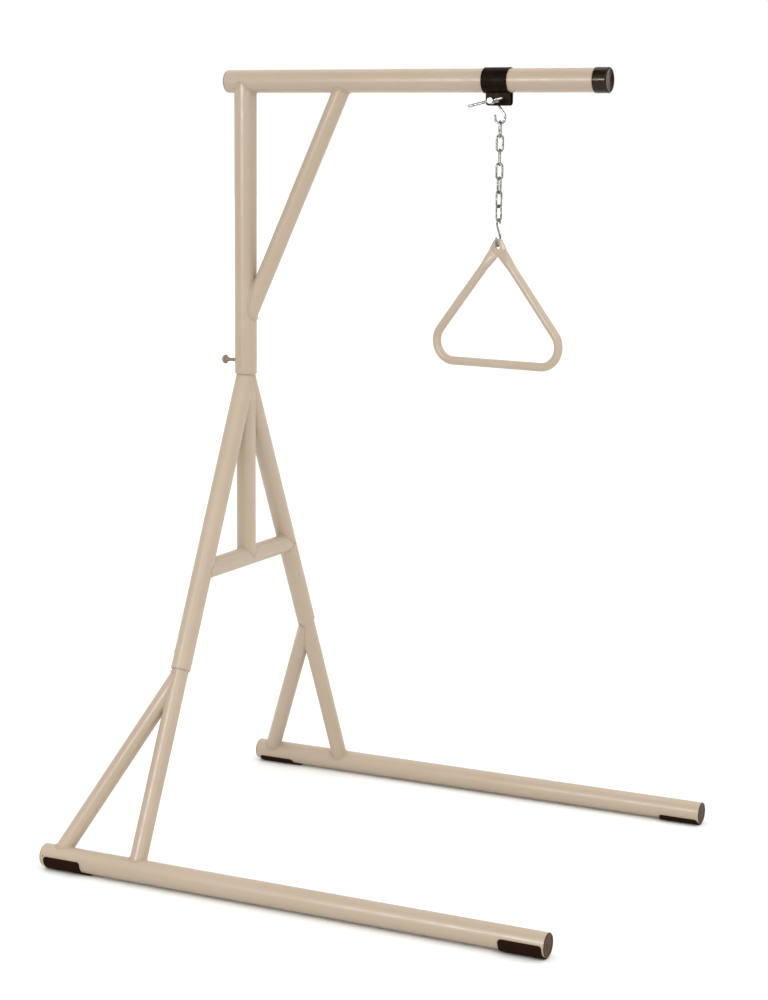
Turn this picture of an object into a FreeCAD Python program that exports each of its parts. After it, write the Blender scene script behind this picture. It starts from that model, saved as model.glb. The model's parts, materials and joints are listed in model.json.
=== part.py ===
import FreeCAD, Part
import math
import os
from FreeCAD import Placement, Rotation, Vector

# Floor-standing trapeze stand: two floor rails, an A-frame, a swivelling mast with an arm,
# and a triangle handle that hangs on a chain from a clamp.
# Millimetres. +X is the way the arm points, +Z is up, and the two sides mirror across Y = 0.
# The origin is on the floor, at the middle of the floor rails.

DIMENSIONS = {
    # tube stock
    "rail_radius": 25.4,
    "leg_radius": 22.225,
    "brace_radius": 19.05,
    "wall": 3.1,
    # base
    "rail_half_length": 603.25,
    "rail_half_spacing": 488.5,
    "rail_height": 28.4,
    "mast_set_back": 367.25,
    "brace_reach": 203.0,
    "brace_top_height": 428.0,
    "sleeve_height": 438.0,
    "stub_top_height": 590.0,
    "crossbar_height": 647.4,
    "crossbar_radius": 22.2,
    "peak_height": 1071.6,
    "leg_top_height": 1076.0,
    "post_top_height": 1305.0,
    # mast and arm
    "mast_foot_height": 1076.6,
    "mast_foot_round": 2.4,
    "mast_bore_radius": 22.3,
    "arm_height": 1739.0,
    "arm_behind": 42.4,
    "arm_length": 914.4,
    "diagonal_foot_height": 1193.0,
    "diagonal_reach": 254.0,
    # end plugs and cap
    "plug_stem_radius": 22.25,
    "plug_stem_length": 16.0,
    "plug_flange_radius": 25.1,
    "plug_flange": 2.5,
    "plug_flange_round": 1.375,
    "plug_dish_radius": 19.0,
    "plug_dish_depth": 0.625,
    "cap_radius": 27.3,
    "cap_bore_radius": 25.45,
    "cap_depth": 28.2,
    "cap_face": 3.4,
    "cap_round": 2.6,
    "cap_dimple_radius": 2.0,
    "cap_dimple_depth": 1.0,
    # foot pads
    "pad_thickness": 3.5,
    "pad_length": 95.0,
    "pad_inset": 9.5,
    "pad_front_inset": 3.5,
    "pad_front_tongue": 3.0,
    "pad_tongue_overlap": 1.0,
    "pad_outer_wrap": 100.0,
    "pad_inner_wrap": 62.0,
    "pad_tongue": 20.0,
    "pad_tongue_wrap": 30.0,
    "vent_radius": 1.75,
    "vent_from_end": 7.0,
    "vent_rise": 4.6,
    # screws
    "bolt_radius": 4.0,
    "hole_clearance": 0.06,
    "seat_gap": 0.05,
    "end_gap": 0.1,
    "leg_bolt_height": 474.0,
    "leg_bolt_head_radius": 6.0,
    "leg_bolt_head": 1.8,
    "leg_bolt_length": 10.0,
    "lock_height": 1107.0,
    "lock_head_out": 61.5,
    "knob_radius": 10.5,
    "knob_thickness": 9.5,
    "knob_round": 3.6,
    "knob_neck": 7.5,
    "knob_flare_radius": 6.1,
    "knob_neck_radius": 4.9,
    # clamp
    "clamp_from_mast": 621.0,
    "clamp_width": 58.8,
    "clamp_bore_radius": 25.45,
    "clamp_radius": 27.9,
    "ear_gap": 12.0,
    "ear_thickness": 3.0,
    "ear_width": 56.0,
    "ear_drop": 53.0,
    "ear_round": 7.0,
    "screw_from_mast": 624.5,
    "load_ahead_of_screw": 3.0,
    "screw_drop": 43.2,
    "screw_radius": 4.0,
    "screw_back": 20.0,
    "hub_near": 37.0,
    "hub_length": 16.0,
    "hub_radius": 7.0,
    "nut_flats": 15.0,
    "nut_thickness": 8.0,
    "tommy_radius": 2.8,
    "tommy_length": 82.0,
    "tommy_slip": 13.0,
    "tommy_angle": 13.0,
    # hooks and chain
    "hook_wire_radius": 2.4,
    "hook_tip_flare": 1.0,
    "hook_eye_end": 4.0,
    "top_hook_eye": 6.6,
    "top_hook_bow": 11.1,
    "top_hook_drop": 47.2,
    "top_hook_tip": 7.3,
    "top_hook_waist": 3.0,
    "link_wire_radius": 2.2,
    "link_bow_radius": 6.7,
    "link_inner_length": 29.9,
    "chain_gap": 0.15,
    "link_twist": 100.125,
    "low_hook_eye": 6.5,
    "low_hook_bow": 8.0,
    "low_hook_length": 57.9,
    "low_hook_tip": 11.0,
    "low_hook_waist": 6.0,
    # handle
    "handle_tube_radius": 9.5,
    "handle_bore_radius": 7.5,
    "handle_hole_radius": 5.0,
    "handle_hole_slack": 3.2,
    "handle_height": 253.6,
    "handle_lean": 38.7,
    "handle_corner": 43.5,
    "handle_flat": 5.2,
    "handle_flat_width": 27.0,
    "handle_flat_start": 62.0,
    "handle_flat_end": 30.0,
    "handle_top": 17.5,
    "handle_shoulder_out": 10.15,
    "handle_shoulder_up": 14.35,
}

LINKS = 7
SIDES = {"left": -1, "right": 1}
X_AXIS = Vector(1, 0, 0)
Y_AXIS = Vector(0, 1, 0)
Z_AXIS = Vector(0, 0, 1)

doc = FreeCAD.newDocument("trapeze_stand")
sheet = doc.addObject("Spreadsheet::Sheet", "Dimensions")
for row, (alias, value) in enumerate(DIMENSIONS.items(), start=1):
    sheet.set(f"A{row}", alias)
    sheet.set(f"B{row}", str(value))
    sheet.setAlias(f"B{row}", alias)
doc.recompute()


def size(alias):
    """One driving dimension, read back from the sheet."""
    return float(getattr(sheet, alias))


sub_parts = []


def keep(shape_object, label):
    """Mark an object as a finished sub-part and give it its file name."""
    shape_object.Label = label
    sub_parts.append(shape_object)
    return shape_object


def bind(item, **formulas):
    """Bind an object's properties to the sheet. A name written <alias> is a cell of the sheet."""
    for prop, formula in formulas.items():
        item.setExpression(prop, formula.replace("<", "Dimensions.").replace(">", ""))
    return item


def along(direction, start):
    """A placement whose local Z axis points along direction."""
    return Placement(start, Rotation(Z_AXIS, direction))


def rod(name, radius, length, direction, start):
    """A solid round bar whose radius and length are formulas on the sheet."""
    item = doc.addObject("Part::Cylinder", name)
    bind(item, Radius=radius, Height=length)
    item.Placement = along(direction, start)
    return item


def block(name, length, width, height, corner):
    """A box with formulas for its three sides."""
    item = doc.addObject("Part::Box", name)
    bind(item, Length=length, Width=width, Height=height)
    item.Placement.Base = corner
    return item


def cut(base, *tools):
    """Base minus each tool in turn."""
    for count, tool in enumerate(tools):
        item = doc.addObject("Part::Cut", f"{base.Name}_cut{count}")
        item.Base = base
        item.Tool = tool
        base = item
    return base


def fuse(name, shapes):
    """One solid from several overlapping ones."""
    item = doc.addObject("Part::MultiFuse", name)
    item.Shapes = shapes
    item.Refine = True
    return item


def rounded(base, radius, picks):
    """Fillet the edges of base that picks(edge) accepts."""
    doc.recompute()
    numbers = [n for n, edge in enumerate(base.Shape.Edges, start=1) if picks(edge)]
    if not numbers:
        raise RuntimeError(f"no edge to round on {base.Name}")
    item = doc.addObject("Part::Fillet", base.Name + "_rounded")
    item.Base = base
    item.Edges = [(number, radius, radius) for number in numbers]
    return item


def circle_at(axis, place, radius):
    """A test for a circular edge of a given radius whose centre is at place along axis."""
    def picks(edge):
        curve = edge.Curve
        if not isinstance(curve, Part.Circle):
            return False
        return abs(curve.Center.dot(axis) - place) < 0.01 and abs(curve.Radius - radius) < 0.01
    return picks


def hexagon(name, flats, height, direction, start):
    """A hexagonal prism: flats is the formula for the width across flats."""
    item = doc.addObject("Part::Prism", name)
    item.Polygon = 6
    bind(item, Circumradius=f"({flats}) / sqrt(3)", Height=height)
    item.Placement = along(direction, start)
    return item


MAST_X = -size("mast_set_back")
RAIL_Z = size("rail_height")
ARM_Z = size("arm_height")
SPREAD = size("rail_half_spacing")
RISE = size("peak_height") - RAIL_Z
PAST = 60.0             # how far a cutting tool runs past what it cuts
DRILL_START = 1.0       # how far outside a surface a drilled hole starts
FULL_BEND = 0.98        # bend radius of a wire that turns right round, as a share of the room it has
SHANK_BEND = 0.55       # bend radius where a hook's bow runs into its shank, as a share of the bow
SHOULDER_BEND = 0.7     # bend radius where the shank runs into the eye, as a share of the eye


def leg_point(side, height):
    """The point of a leg's axis at a height above the floor."""
    share = (size("peak_height") - height) / RISE
    return Vector(MAST_X, side * SPREAD * share, height)


def leg_tool(name, side, radius):
    """A solid bar on a leg's whole axis, for coping what meets the leg."""
    start = leg_point(side, 0.0)
    end = leg_point(side, size("peak_height") + PAST)
    item = rod(name, radius, f"{(end - start).Length} mm", end - start, start)
    return item


def rail_tool(name, side):
    """A solid bar on a floor rail's axis, for coping what stands on it."""
    start = Vector(-size("rail_half_length"), side * SPREAD, RAIL_Z)
    return rod(name, "<rail_radius>", "<rail_half_length> * 2", X_AXIS, start)


# ---- base: rails, leg stubs, rear braces -----------------------------------------------------

def base_rail(name, side):
    outer = rail_tool(name + "_skin", side)
    start = Vector(-size("rail_half_length"), side * SPREAD, RAIL_Z)
    bore = rod(name + "_bore", "<rail_radius> - <wall>", "<rail_half_length> * 2", X_AXIS, start)
    vent_start = start + X_AXIS * size("vent_from_end") + Z_AXIS * size("vent_rise")
    vent = rod(name + "_vent", "<vent_radius>", "<rail_radius> + <wall>", Y_AXIS * side, vent_start)
    keep(cut(outer, bore, vent), f"{name}_base_rail")


def leg_stub(name, side):
    foot = leg_point(side, RAIL_Z)
    top = leg_point(side, size("stub_top_height"))
    length = f"{(top - foot).Length} mm"
    outer = rod(name + "_stub_skin", "<brace_radius>", length, top - foot, foot)
    bore = rod(name + "_stub_bore", "<brace_radius> - <wall>", length, top - foot, foot)
    rail = rail_tool(name + "_stub_cope", side)
    hole = leg_bolt_bore(name + "_stub_hole", side)
    keep(cut(outer, bore, rail, hole), f"{name}_leg_stub")


def rear_brace(name, side):
    foot = Vector(MAST_X - size("brace_reach"), side * SPREAD, RAIL_Z)
    top = leg_point(side, size("brace_top_height"))
    length = f"{(top - foot).Length} mm"
    outer = rod(name + "_brace_skin", "<brace_radius>", length, top - foot, foot)
    bore = rod(name + "_brace_bore", "<brace_radius> - <wall>", length, top - foot, foot)
    rail = rail_tool(name + "_brace_cope", side)
    stub = leg_tool(name + "_brace_top_cope", side, "<brace_radius>")
    keep(cut(outer, bore, rail, stub), f"{name}_rear_brace")


def end_plug(label, centre, outward, radius):
    """A push-in tube plug: a stem inside the tube and a rounded, dished flange outside it."""
    stem_start = centre - outward * size("plug_stem_length")
    stem = rod(label + "_stem", "<plug_stem_radius>", "<plug_stem_length>", outward, stem_start)
    hollow = rod(label + "_hollow", "<plug_stem_radius> - <wall>", "<plug_stem_length> - <plug_flange>",
                 outward, stem_start)
    flange = rod(label + "_flange", radius, "<plug_flange>", outward, centre)
    face = (centre + outward * size("plug_flange")).dot(outward)
    flange = rounded(flange, size("plug_flange_round"),
                     circle_at(outward, face, size("plug_flange_radius")))
    dish = rod(label + "_dish", "<plug_dish_radius>", "<plug_flange>", outward,
               centre + outward * (size("plug_flange") - size("plug_dish_depth")))
    keep(cut(fuse(label + "_body", [stem, flange]), hollow, dish), label)


def foot_pad(label, side, near_end, tongue):
    """A rubber saddle under a rail, with a flat sole and a tongue that runs on along the bottom."""
    outer = "<rail_radius> + <pad_thickness>"
    length = size("pad_length")
    axis = Vector(near_end, side * SPREAD, RAIL_Z)

    def sector(name, start, run, first, last):
        """Part of a tube wall below the rail, between two angles measured outward from the bottom."""
        skin = doc.addObject("Part::Cylinder", name)
        bind(skin, Radius=outer)
        skin.Height = run
        skin.Angle = last - first
        # local X is turned so that the sector starts at the first angle
        turn = Rotation(Z_AXIS, X_AXIS)
        begin = -90.0 + first if side > 0 else -90.0 - last
        across = Vector(0, math.cos(math.radians(begin)), math.sin(math.radians(begin)))
        local = turn.inverted().multVec(across)
        spin = math.degrees(math.atan2(local.y, local.x))
        skin.Placement = Placement(start, turn.multiply(Rotation(Z_AXIS, spin)))
        return skin

    saddle = sector(label + "_saddle", axis, length, -size("pad_inner_wrap"), size("pad_outer_wrap"))
    pieces = [saddle]
    if tongue:
        wrap = size("pad_tongue_wrap")
        overlap = size("pad_tongue_overlap")
        start = axis + X_AXIS * (length - overlap)
        pieces.append(sector(label + "_tongue", start, tongue + overlap, -wrap, wrap))
    body = fuse(label + "_body", pieces) if tongue else saddle
    bore = rod(label + "_bore", "<rail_radius>", "<pad_length> + <pad_tongue> * 2", X_AXIS,
               axis - X_AXIS * size("pad_tongue") * 0.5)
    floor = block(label + "_floor", "<pad_length> * 2", "<rail_radius> * 4", "<rail_radius>",
                  Vector(near_end - size("pad_tongue"), side * SPREAD - size("rail_radius") * 2,
                         -size("rail_radius")))
    keep(cut(body, bore, floor), label)


def leg_bolt_bore(name, side):
    """The drilled hole through the back of a leg sleeve and its stub."""
    place = leg_point(side, size("leg_bolt_height"))
    start = place - X_AXIS * (size("leg_radius") + DRILL_START)
    return rod(name, "<bolt_radius> + <hole_clearance>", "<leg_radius>", X_AXIS, start)


def leg_bolt(name, side):
    """The low-headed screw that holds a leg sleeve on its stub."""
    place = leg_point(side, size("leg_bolt_height"))
    seat = place - X_AXIS * (size("leg_radius") + size("seat_gap"))
    inside = seat + X_AXIS * size("leg_bolt_length")
    shank = rod(name + "_bolt_shank", "<bolt_radius>", "<leg_bolt_length> + <leg_bolt_head>", -X_AXIS, inside)
    head = rod(name + "_bolt_head", "<leg_bolt_head_radius>", "<leg_bolt_head>", -X_AXIS, seat)
    keep(fuse(name + "_bolt_body", [shank, head]), f"{name}_leg_bolt")


def a_frame_leg(name, side):
    """A leg sleeve: slips over the stub below and is mitred to the post and its twin above."""
    foot = leg_point(side, size("sleeve_height"))
    end = leg_point(side, size("peak_height") + PAST)
    length = f"{(end - foot).Length} mm"
    outer = rod(name + "_leg_skin", "<leg_radius>", length, end - foot, foot)
    bore = rod(name + "_leg_bore", "<brace_radius> + <hole_clearance>", length, end - foot, foot)
    post = rod(name + "_leg_cope", "<leg_radius>", "<post_top_height>", Z_AXIS, Vector(MAST_X, 0, 0))
    reach = size("leg_radius") * 4
    corner_y = 0.0 if side < 0 else -reach
    other = block(name + "_leg_mitre", "<leg_radius> * 4", "<leg_radius> * 4", "<post_top_height>",
                  Vector(MAST_X - reach / 2, corner_y, 0))
    above = block(name + "_leg_top", "<leg_radius> * 4", "<leg_radius> * 8", "<leg_radius> * 8",
                  Vector(MAST_X - reach / 2, -reach, size("leg_top_height")))
    hole = leg_bolt_bore(name + "_leg_hole", side)
    keep(cut(outer, bore, post, other, above, hole), f"{name}_leg_tube")


for side_name, side_sign in SIDES.items():
    base_rail(side_name, side_sign)
    leg_stub(side_name, side_sign)
    rear_brace(side_name, side_sign)
    a_frame_leg(side_name, side_sign)
    leg_bolt(side_name, side_sign)
    half = size("rail_half_length")
    for end_name, end_sign in (("front", 1), ("rear", -1)):
        end_plug(f"{side_name}_{end_name}_rail_plug", Vector(end_sign * half, side_sign * SPREAD, RAIL_Z),
                 X_AXIS * end_sign, "<plug_flange_radius>")
    inset = size("pad_inset")
    foot_pad(f"{side_name}_rear_foot_pad", side_sign, -half + inset, size("pad_tongue"))
    front_pad = half - size("pad_length") - size("pad_front_inset")
    foot_pad(f"{side_name}_front_foot_pad", side_sign, front_pad, size("pad_front_tongue"))

# crossbar and post of the A-frame
bar_y = leg_point(1, size("crossbar_height")).y
bar_start = Vector(MAST_X, -bar_y, size("crossbar_height"))
bar_length = f"{2 * bar_y} mm"
bar = rod("crossbar_skin", "<crossbar_radius>", bar_length, Y_AXIS, bar_start)
bar_bore = rod("crossbar_bore", "<crossbar_radius> - <wall>", bar_length, Y_AXIS, bar_start)
bar_copes = [leg_tool(f"crossbar_cope_{s}", v, "<leg_radius>") for s, v in SIDES.items()]
keep(cut(bar, bar_bore, *bar_copes), "crossbar")

post_start = Vector(MAST_X, 0, size("crossbar_height"))
post_length = "<post_top_height> - <crossbar_height>"
post = rod("post_skin", "<leg_radius>", post_length, Z_AXIS, post_start)
post_bore = rod("post_bore", "<leg_radius> - <wall>", post_length, Z_AXIS, post_start)
post_cope = rod("post_cope", "<crossbar_radius>", bar_length, Y_AXIS, bar_start)
keep(cut(post, post_bore, post_cope), "centre_post")

# ---- mast, arm and diagonal ------------------------------------------------------------------

ARM_START = Vector(MAST_X - size("arm_behind"), 0, ARM_Z)
MAST_FOOT = Vector(MAST_X, 0, size("mast_foot_height"))


def arm_tool(name):
    return rod(name, "<rail_radius>", "<arm_length>", X_AXIS, ARM_START)


def mast_tool(name):
    return rod(name, "<rail_radius>", "<arm_height> - <mast_foot_height>", Z_AXIS, MAST_FOOT)


mast = rounded(mast_tool("mast_skin"), size("mast_foot_round"),
               circle_at(Z_AXIS, size("mast_foot_height"), size("rail_radius")))
mast_bore = rod("mast_bore", "<mast_bore_radius>", "<arm_height> - <mast_foot_height>", Z_AXIS, MAST_FOOT)
lock_bore = rod("lock_bore", "<bolt_radius> + <hole_clearance>", "<rail_radius> * 2", -X_AXIS,
                Vector(MAST_X, 0, size("lock_height")))
keep(cut(mast, mast_bore, arm_tool("mast_cope"), lock_bore), "mast_tube")

arm_bore = rod("arm_bore", "<mast_bore_radius>", "<arm_length>", X_AXIS, ARM_START)
keep(cut(arm_tool("arm_skin"), arm_bore), "arm_tube")

diagonal_foot = Vector(MAST_X, 0, size("diagonal_foot_height"))
diagonal_top = Vector(MAST_X + size("diagonal_reach"), 0, ARM_Z)
diagonal_run = diagonal_top - diagonal_foot
diagonal_length = f"{diagonal_run.Length} mm"
diagonal = rod("diagonal_skin", "<brace_radius>", diagonal_length, diagonal_run, diagonal_foot)
diagonal_bore = rod("diagonal_bore", "<brace_radius> - <wall>", diagonal_length, diagonal_run, diagonal_foot)
keep(cut(diagonal, diagonal_bore, mast_tool("diagonal_cope"), arm_tool("diagonal_top_cope")),
     "arm_diagonal")

end_plug("arm_rear_plug", ARM_START, -X_AXIS, "<plug_flange_radius>")

# front cap: a cup over the end of the arm
ARM_END = ARM_START + X_AXIS * size("arm_length")
cap_start = ARM_END - X_AXIS * size("cap_depth")
cap_skin = rod("cap_skin", "<cap_radius>", "<cap_depth> + <cap_face>", X_AXIS, cap_start)
cap_front = ARM_END.x + size("cap_face")
cap_skin = rounded(cap_skin, size("cap_round"), circle_at(X_AXIS, cap_front, size("cap_radius")))
cap_bore = rod("cap_bore", "<cap_bore_radius>", "<cap_depth>", X_AXIS, cap_start)
cap_dimple = rod("cap_dimple", "<cap_dimple_radius>", "<cap_face>", X_AXIS,
                 Vector(cap_front - size("cap_dimple_depth"), 0, ARM_Z))
keep(cut(cap_skin, cap_bore, cap_dimple), "arm_front_cap")

# lock screw and its knob, on the back of the mast
post_surface = MAST_X - size("leg_radius") - size("end_gap")
lock_line = Vector(0, 0, size("lock_height"))
knob_face = MAST_X - size("lock_head_out")
screw_start = Vector(post_surface, 0, 0) + lock_line
screw_end = knob_face + size("knob_thickness") / 2
lock_screw = rod("lock_screw_shank", "<bolt_radius>", f"{post_surface - screw_end} mm", -X_AXIS, screw_start)
keep(lock_screw, "lock_screw")

knob_disc = rod("knob_disc", "<knob_radius>", "<knob_thickness>", X_AXIS, Vector(knob_face, 0, 0) + lock_line)
knob_disc = rounded(knob_disc, size("knob_round"), circle_at(X_AXIS, knob_face, size("knob_radius")))
knob_neck = doc.addObject("Part::Cone", "knob_neck_cone")
bind(knob_neck, Radius1="<knob_flare_radius>", Radius2="<knob_neck_radius>", Height="<knob_neck>")
knob_neck.Placement = along(X_AXIS, Vector(knob_face + size("knob_thickness"), 0, 0) + lock_line)
knob_bore = rod("knob_bore", "<bolt_radius> + <hole_clearance>", "<knob_thickness> * 3", X_AXIS,
                Vector(screw_end - size("end_gap"), 0, 0) + lock_line)
keep(cut(fuse("knob_body", [knob_disc, knob_neck]), knob_bore), "lock_knob")

# ---- clamp on the arm ------------------------------------------------------------------------

CLAMP_X = MAST_X + size("clamp_from_mast")
SCREW_X = MAST_X + size("screw_from_mast")
SCREW_Z = ARM_Z - size("screw_drop")
clamp_low = CLAMP_X - size("clamp_width") / 2
ear_low = SCREW_X - size("ear_width") / 2
ear_outer = size("ear_gap") / 2 + size("ear_thickness")

band = rod("clamp_hoop", "<clamp_radius>", "<clamp_width>", X_AXIS, Vector(clamp_low, 0, ARM_Z))
ears = block("clamp_ears", "<ear_width>", "<ear_gap> + <ear_thickness> * 2", "<ear_drop>",
             Vector(ear_low, -ear_outer, ARM_Z - size("ear_drop")))


def lower_corner(edge):
    if len(edge.Vertexes) != 2:
        return False
    ends = [vertex.Point for vertex in edge.Vertexes]
    across = abs(ends[0].x - ends[1].x) < 0.01 and abs(ends[0].z - ends[1].z) < 0.01
    return across and ends[0].z < SCREW_Z


ears = rounded(ears, size("ear_round"), lower_corner)
band_and_ears = fuse("clamp_shell", [band, ears])
arm_room = rod("clamp_arm_room", "<clamp_bore_radius>", "<clamp_width> * 2", X_AXIS,
               Vector(clamp_low - PAST / 2, 0, ARM_Z))
slot = block("clamp_slot", "<clamp_width> * 2", "<ear_gap>", "<ear_drop>",
             Vector(clamp_low - PAST / 2, -size("ear_gap") / 2, ARM_Z - size("ear_drop")))
ear_hole = rod("clamp_ear_hole", "<screw_radius> + <hole_clearance>", "<clamp_radius> * 2", Y_AXIS,
               Vector(SCREW_X, -size("clamp_radius"), SCREW_Z))
keep(cut(band_and_ears, arm_room, slot, ear_hole), "clamp_band")

nut = hexagon("nut_body", "<nut_flats>", "<nut_thickness>", Y_AXIS, Vector(SCREW_X, ear_outer, SCREW_Z))
nut_bore = rod("nut_bore", "<screw_radius> + <hole_clearance>", "<nut_thickness>", Y_AXIS,
               Vector(SCREW_X, ear_outer, SCREW_Z))
keep(cut(nut, nut_bore), "clamp_nut")

tommy_turn = math.radians(size("tommy_angle"))
TOMMY_RUN = Vector(math.cos(tommy_turn), 0, math.sin(tommy_turn))
hub_far = -size("hub_near")
hub_middle = Vector(SCREW_X, hub_far - size("hub_length") / 2, SCREW_Z)
shank = rod("clamp_screw_shank", "<screw_radius>", "<screw_back> + <hub_near>", -Y_AXIS,
            Vector(SCREW_X, size("screw_back"), SCREW_Z))
hub = rod("clamp_screw_hub", "<hub_radius>", "<hub_length>", -Y_AXIS, Vector(SCREW_X, hub_far, SCREW_Z))
hub_bore = rod("clamp_screw_bore", "<tommy_radius> + <hole_clearance>", "<hub_radius> * 4", TOMMY_RUN,
               hub_middle - TOMMY_RUN * size("hub_radius") * 2)
keep(cut(fuse("clamp_screw_body", [shank, hub]), hub_bore), "clamp_screw")

tommy_start = hub_middle - TOMMY_RUN * (size("tommy_length") / 2 + size("tommy_slip"))
keep(rod("tommy", "<tommy_radius>", "<tommy_length>", TOMMY_RUN, tommy_start), "tommy_bar")

# ---- hooks, chain and handle ------------------------------------------------------------------


def rounded_path(points, radii):
    """A wire of straight runs joined by tangent arcs. Each inner point has its own radius."""
    edges = []
    last = points[0]
    for before, corner, after, radius in zip(points, points[1:], points[2:], radii):
        back = (before - corner).normalize()
        ahead = (after - corner).normalize()
        half_angle = back.getAngle(ahead) / 2
        reach = radius / math.tan(half_angle)
        enter = corner + back * reach
        leave = corner + ahead * reach
        bisector = (back + ahead).normalize()
        middle = corner + bisector * (radius / math.sin(half_angle) - radius)
        if (enter - last).Length > 1e-6:
            edges.append(Part.LineSegment(last, enter).toShape())
        edges.append(Part.Arc(enter, middle, leave).toShape())
        last = leave
    edges.append(Part.LineSegment(last, points[-1]).toShape())
    return Part.Wire(edges)


def wire_form(path, radius):
    """A round wire of one radius bent along a path."""
    start = path.OrderedEdges[0]
    ring = Part.Wire(Part.Circle(start.valueAt(start.FirstParameter),
                                 start.tangentAt(start.FirstParameter), radius).toShape())
    return path.makePipeShell([ring], True, False)


def feature(label, shape, placement):
    """A bent piece whose sizes come from the sheet through the code above."""
    item = doc.addObject("Part::Feature", label + "_shape")
    item.Shape = shape
    item.Placement = placement
    return keep(item, label)


def upright(angle, place):
    """Local X lies along a horizontal direction at an angle to +X; local Z stays up."""
    return Placement(place, Rotation(Z_AXIS, angle))


def s_hook(eye, bow, length, tip, waist, ahead=0.0):
    """A flat S: the eye turns over the top at z = 0, and the bow's lowest wire centre is at -length.

    ahead is how far the bow's centre lies beyond the eye's, along local X.
    """
    bow_centre = -length + bow
    shoulder = -eye - waist
    points = [
        Vector(ahead - bow - size("hook_tip_flare"), 0, bow_centre + tip),
        Vector(ahead - bow, 0, -length),
        Vector(ahead + bow, 0, -length),
        Vector(ahead + bow, 0, bow_centre + tip),
        Vector(-eye, 0, shoulder),
        Vector(-eye, 0, 0),
        Vector(eye, 0, 0),
        Vector(eye, 0, -eye - size("hook_eye_end")),
    ]
    bow_bend = bow * FULL_BEND
    eye_bend = eye * FULL_BEND
    radii = [bow_bend, bow_bend, bow * SHANK_BEND, eye * SHOULDER_BEND, eye_bend, eye_bend]
    return wire_form(rounded_path(points, radii), size("hook_wire_radius"))


HOOK_TOP = Vector(SCREW_X, 0, SCREW_Z + size("top_hook_eye"))
top_hook_length = size("top_hook_drop") + size("top_hook_eye")
feature("top_hook", s_hook(size("top_hook_eye"), size("top_hook_bow"), top_hook_length,
                           size("top_hook_tip"), size("top_hook_waist"), size("load_ahead_of_screw")),
        upright(0.0, HOOK_TOP))
LOAD_X = SCREW_X + size("load_ahead_of_screw")

wire = size("link_wire_radius")
bow_radius = size("link_bow_radius")
straight = size("link_inner_length") + 2 * wire - 2 * bow_radius


def chain_link(label, angle, top):
    """A welded oval link: two half rings and two straight sides. top is its upper wire centre."""
    upper = top - Z_AXIS * bow_radius
    lower = upper - Z_AXIS * straight
    pieces = []
    for end_label, centre, first in (("upper", upper, 0.0), ("lower", lower, 180.0)):
        bow = doc.addObject("Part::Torus", f"{label}_{end_label}")
        bind(bow, Radius1="<link_bow_radius>", Radius2="<link_wire_radius>")
        bow.Angle3 = 180.0
        stand = Rotation(Z_AXIS, angle).multiply(Rotation(X_AXIS, 90.0)).multiply(Rotation(Z_AXIS, first))
        bow.Placement = Placement(centre, stand)
        pieces.append(bow)
    across = Vector(math.cos(math.radians(angle)), math.sin(math.radians(angle)), 0)
    for count, sign in enumerate((-1, 1)):
        side_bar = rod(f"{label}_side{count}", "<link_wire_radius>",
                       "<link_inner_length> + <link_wire_radius> * 2 - <link_bow_radius> * 2",
                       Z_AXIS, lower + across * bow_radius * sign)
        pieces.append(side_bar)
    keep(fuse(label + "_body", pieces), label)


gap = size("chain_gap")
hook_wire = size("hook_wire_radius")
support = HOOK_TOP.z - top_hook_length
joint_heights = [support]
parent_wire = hook_wire
for number in range(1, LINKS + 1):
    link_top = support + parent_wire + wire + gap
    chain_link(f"chain_link_{number}", number * size("link_twist"), Vector(LOAD_X, 0, link_top))
    support = link_top - size("link_inner_length") - 2 * wire
    parent_wire = wire
    joint_heights.append(support)

low_hook_top = support + wire + hook_wire + gap
low_hook_angle = (LINKS + 1) * size("link_twist")
feature("low_hook", s_hook(size("low_hook_eye"), size("low_hook_bow"), size("low_hook_length"),
                           size("low_hook_tip"), size("low_hook_waist")),
        upright(low_hook_angle, Vector(LOAD_X, 0, low_hook_top)))
handle_pivot = low_hook_top - size("low_hook_length")
joint_heights.append(handle_pivot)
print("hinge heights, top to bottom:", [round(value, 3) for value in joint_heights])
print("hinge turn per link:", size("link_twist"), "degrees, screw at", round(SCREW_X, 3), round(SCREW_Z, 3),
      "load line at", round(LOAD_X, 3))


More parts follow.
